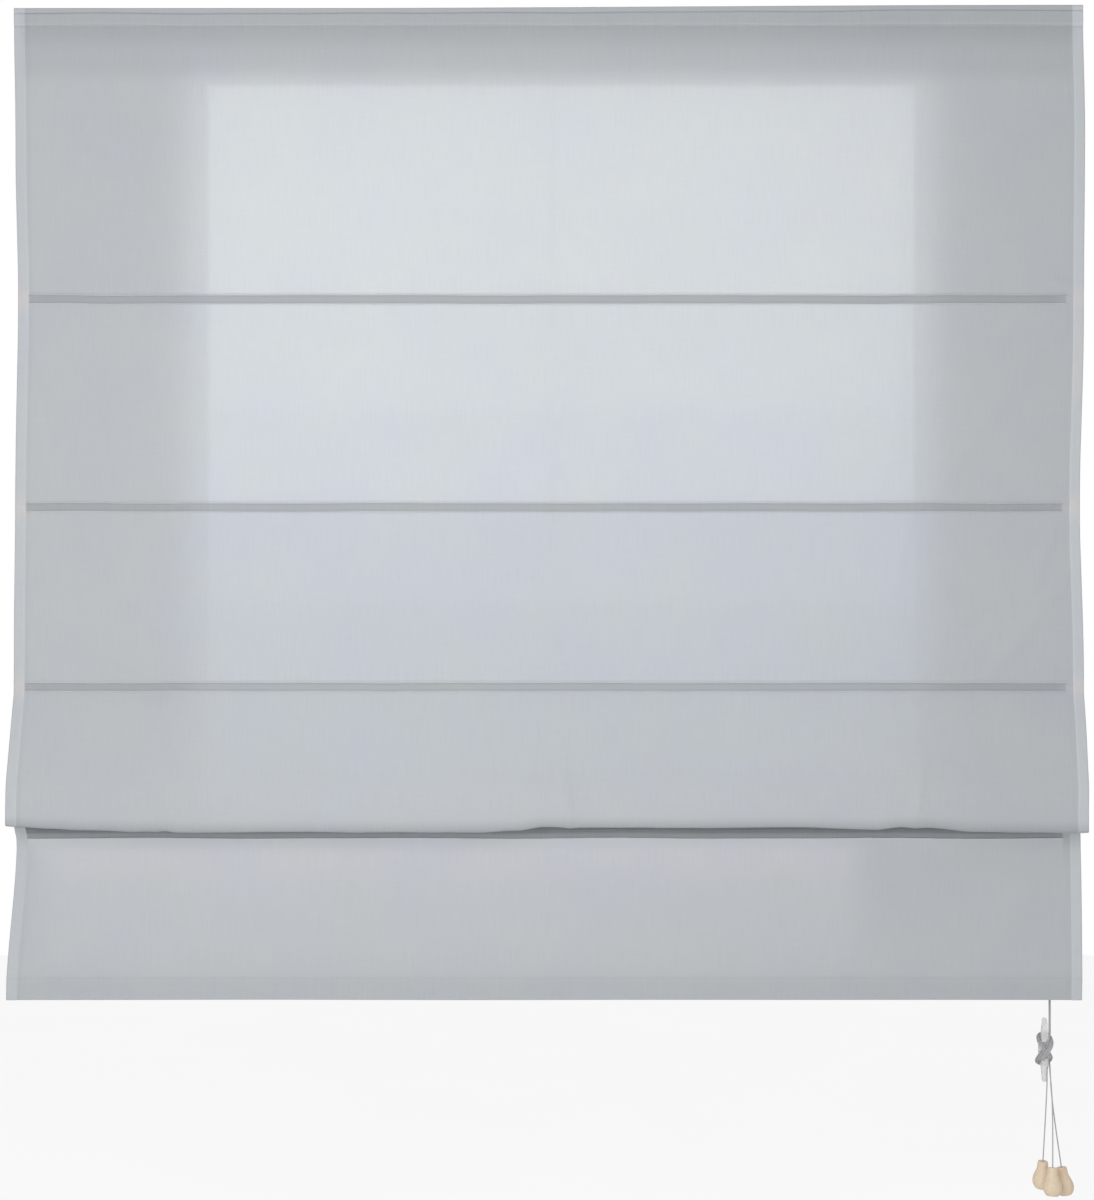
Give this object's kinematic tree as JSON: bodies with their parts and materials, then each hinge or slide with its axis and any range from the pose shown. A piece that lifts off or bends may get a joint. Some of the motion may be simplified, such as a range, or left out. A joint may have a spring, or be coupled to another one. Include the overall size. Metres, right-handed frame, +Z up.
{
  "type": "roman blind",
  "caption": "Corded roman blind of light grey cloth on four hidden rods, with head rail, wall brackets, cord lock, cleat and three turned wooden pulls.",
  "frame": {"origin": "on the wall plane, midway between the two screw holes of the centre bracket", "axes": "+Z up, +Y into the wall, the blind's front faces -Y, +X to the right as seen from the front"},
  "size_m": [1.5, 0.0834, 1.6658],
  "materials": {
    "lacquered_rail": "white lacquer, satin",
    "end_cap": "white moulded plastic",
    "hook_and_loop": "white hook and loop tape",
    "zinc_steel": "zinc plated",
    "lever": "moulded",
    "guide": "white moulded plastic",
    "pulley": "moulded acetal",
    "cam": "toothed",
    "lift_cord": "braided polyester",
    "cloth": "plain woven light grey cloth, lets some light through",
    "pocket_tape": "white woven tape",
    "rod": "glass fibre",
    "ring": "clear moulded plastic",
    "orb": "white moulded plastic",
    "weight_bar": "mill",
    "clear_plastic": "clear moulded plastic",
    "pull_cord": "braided grey polyester",
    "pull_wood": "turned, unvarnished"
  },
  "bodies": {
    "root": {"headrail": "lacquered_rail", "end_cap_left": "end_cap", "end_cap_right": "end_cap", "hook_tape": "hook_and_loop", "loop_tape": "hook_and_loop", "bracket_left": "zinc_steel", "bracket_centre": "zinc_steel", "bracket_right": "zinc_steel", "bracket_rivets": "zinc_steel", "cross_pins": "zinc_steel", "cord_guide_left": "guide", "cord_guide_centre": "guide", "cord_guide_right": "guide", "cord_lock": "guide", "lift_cord_left": "lift_cord", "lift_cord_centre": "lift_cord", "lift_cord_right": "lift_cord", "fabric": "cloth", "cleat": "clear_plastic", "cord_winding": "pull_cord", "pull_cord_upper_left": "pull_cord", "pull_cord_upper_centre": "pull_cord", "pull_cord_upper_right": "pull_cord", "pull_cord_lower_left": "pull_cord", "pull_cord_lower_centre": "pull_cord", "pull_cord_lower_right": "pull_cord", "pull_left": "pull_wood", "pull_centre": "pull_wood", "pull_right": "pull_wood"},
    "lever_left": {"bracket_lever_left": "lever"},
    "lever_centre": {"bracket_lever_centre": "lever"},
    "lever_right": {"bracket_lever_right": "lever"},
    "pulley_left": {"guide_pulley_left": "pulley"},
    "pulley_centre": {"guide_pulley_centre": "pulley"},
    "pulley_right": {"guide_pulley_right": "pulley"},
    "lock_roller": {"lock_roller": "pulley"},
    "lock_cam": {"lock_cam": "cam"},
    "rib_1": {"pocket_tape_1": "pocket_tape", "rod_1": "rod", "rings_1": "ring"},
    "rib_2": {"pocket_tape_2": "pocket_tape", "rod_2": "rod", "rings_2": "ring"},
    "rib_3": {"pocket_tape_3": "pocket_tape", "rod_3": "rod", "rings_3": "ring"},
    "bottom_section": {"pocket_tape_4": "pocket_tape", "rod_4": "rod", "rings_4": "ring", "cord_orb_left": "orb", "cord_orb_centre": "orb", "cord_orb_right": "orb", "hem_bar": "weight_bar"}
  },
  "joints": [
    {"name": "lever_left_turn", "type": "hinge", "parent": "root", "child": "lever_left", "pos_m": [-0.62, -0.018, 0.0128], "axis": [0, 0, 1], "range_deg": [0, 90]},
    {"name": "lever_centre_turn", "type": "hinge", "parent": "root", "child": "lever_centre", "pos_m": [0, -0.018, 0.0128], "axis": [0, 0, 1], "range_deg": [0, 90]},
    {"name": "lever_right_turn", "type": "hinge", "parent": "root", "child": "lever_right", "pos_m": [0.62, -0.018, 0.0128], "axis": [0, 0, 1], "range_deg": [0, 90]},
    {"name": "pulley_left_spin", "type": "hinge", "parent": "root", "child": "pulley_left", "pos_m": [-0.5301, -0.018, -0.0037], "axis": [0, 1, 0], "continuous": true},
    {"name": "pulley_centre_spin", "type": "hinge", "parent": "root", "child": "pulley_centre", "pos_m": [0.0099, -0.018, -0.0037], "axis": [0, 1, 0], "continuous": true},
    {"name": "pulley_right_spin", "type": "hinge", "parent": "root", "child": "pulley_right", "pos_m": [0.5039, -0.018, -0.0037], "axis": [0, 1, 0], "continuous": true},
    {"name": "lock_roller_spin", "type": "hinge", "parent": "root", "child": "lock_roller", "pos_m": [0.6991, -0.018, -0.0037], "axis": [0, 1, 0], "continuous": true},
    {"name": "lock_cam_release", "type": "hinge", "parent": "root", "child": "lock_cam", "pos_m": [0.7096, -0.018, -0.0048], "axis": [0, 1, 0], "range_deg": [-60, 0]},
    {"name": "rib_1_rise", "type": "slide", "parent": "root", "child": "rib_1", "axis": [0, 0, 1], "range_m": [0, 0.354], "deforming": ["fabric", "lift_cord_left", "lift_cord_centre", "lift_cord_right"]},
    {"name": "rib_2_rise", "type": "slide", "parent": "rib_1", "child": "rib_2", "axis": [0, 0, 1], "range_m": [0, 0.262], "deforming": ["fabric", "lift_cord_left", "lift_cord_centre", "lift_cord_right"]},
    {"name": "rib_3_rise", "type": "slide", "parent": "rib_2", "child": "rib_3", "axis": [0, 0, 1], "range_m": [0, 0.222], "deforming": ["fabric", "lift_cord_left", "lift_cord_centre", "lift_cord_right"]},
    {"name": "bottom_rise", "type": "slide", "parent": "rib_3", "child": "bottom_section", "axis": [0, 0, 1], "range_m": [-0.05, 0.175], "deforming": ["fabric", "lift_cord_left", "lift_cord_centre", "lift_cord_right"]}
  ],
  "couplings": [
    {"joint": "pulley_left_spin", "follows": "lock_roller_spin", "ratio": 1},
    {"joint": "pulley_centre_spin", "follows": "lock_roller_spin", "ratio": 1},
    {"joint": "pulley_right_spin", "follows": "lock_roller_spin", "ratio": 1}
  ]
}
